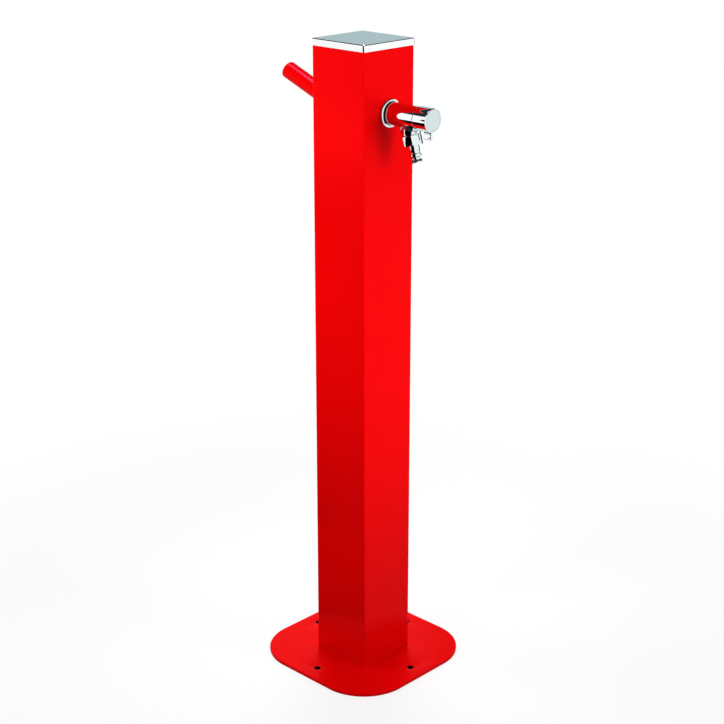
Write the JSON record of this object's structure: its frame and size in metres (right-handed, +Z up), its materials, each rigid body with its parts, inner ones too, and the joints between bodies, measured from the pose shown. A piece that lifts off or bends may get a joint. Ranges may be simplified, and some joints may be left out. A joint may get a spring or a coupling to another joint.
{
  "type": "garden standpipe",
  "caption": "Free-standing garden standpipe: square column on a rounded foot plate, with a quarter-turn tap, a quick-connect hose stem and a sloping hose peg.",
  "frame": {"origin": "centre of the anchor circle on the foot plate's underside, on the column's axis", "axes": "+Z up along the column; the tap looks along -Y and the hose peg along +Y"},
  "size_m": [0.25, 0.286, 0.95],
  "materials": {
    "red_coat": "glossy powder coat",
    "polished_steel": "polished",
    "tap_chrome": "mirror",
    "brass": "machined",
    "plated_steel": "zinc plated",
    "pipe_steel": "drawn",
    "black_rubber": "smooth",
    "white_ceramic": "lapped",
    "black_plastic": "moulded",
    "valve_plastic": "moulded"
  },
  "bodies": {
    "standpipe": {"column_tube": "red_coat", "base_plate": "red_coat", "hose_peg": "red_coat", "peg_end_disc": "red_coat", "top_cap": "polished_steel", "tap_rosette": "tap_chrome", "tap_body": "tap_chrome", "union_nut": "tap_chrome", "hose_stem": "tap_chrome", "wall_elbow": "brass", "inlet_socket": "brass", "inlet_locknut": "brass", "cartridge_housing": "brass", "elbow_bracket": "plated_steel", "foot_bracket": "plated_steel", "elbow_screws": "plated_steel", "elbow_nuts": "plated_steel", "check_valve_spring": "plated_steel", "riser_pipe": "pipe_steel", "tap_gasket": "black_rubber", "housing_ring": "black_rubber", "seat_seal": "black_rubber", "stem_ring": "black_rubber", "stem_washer": "black_rubber", "fixed_disc": "white_ceramic", "cap_plug": "black_plastic", "check_valve_cage": "valve_plastic"},
    "handle": {"tap_knob": "tap_chrome", "knob_disc": "tap_chrome", "knob_screw": "plated_steel", "spindle": "brass", "spindle_clip": "plated_steel", "spindle_rings": "black_rubber", "moving_disc": "white_ceramic"},
    "poppet": {"check_valve_poppet": "valve_plastic"}
  },
  "joints": [
    {"name": "handle_turn", "type": "hinge", "parent": "standpipe", "child": "handle", "pos_m": [0, -0.05, 0.852], "axis": [0, -1, 0], "range_deg": [0, 90]},
    {"name": "poppet_lift", "type": "slide", "parent": "standpipe", "child": "poppet", "axis": [0, -0.2924, -0.9563], "range_m": [0, 0.003], "stiffness_N_per_m": 100, "springref_m": -0.0015, "deforming": ["check_valve_spring"]}
  ]
}
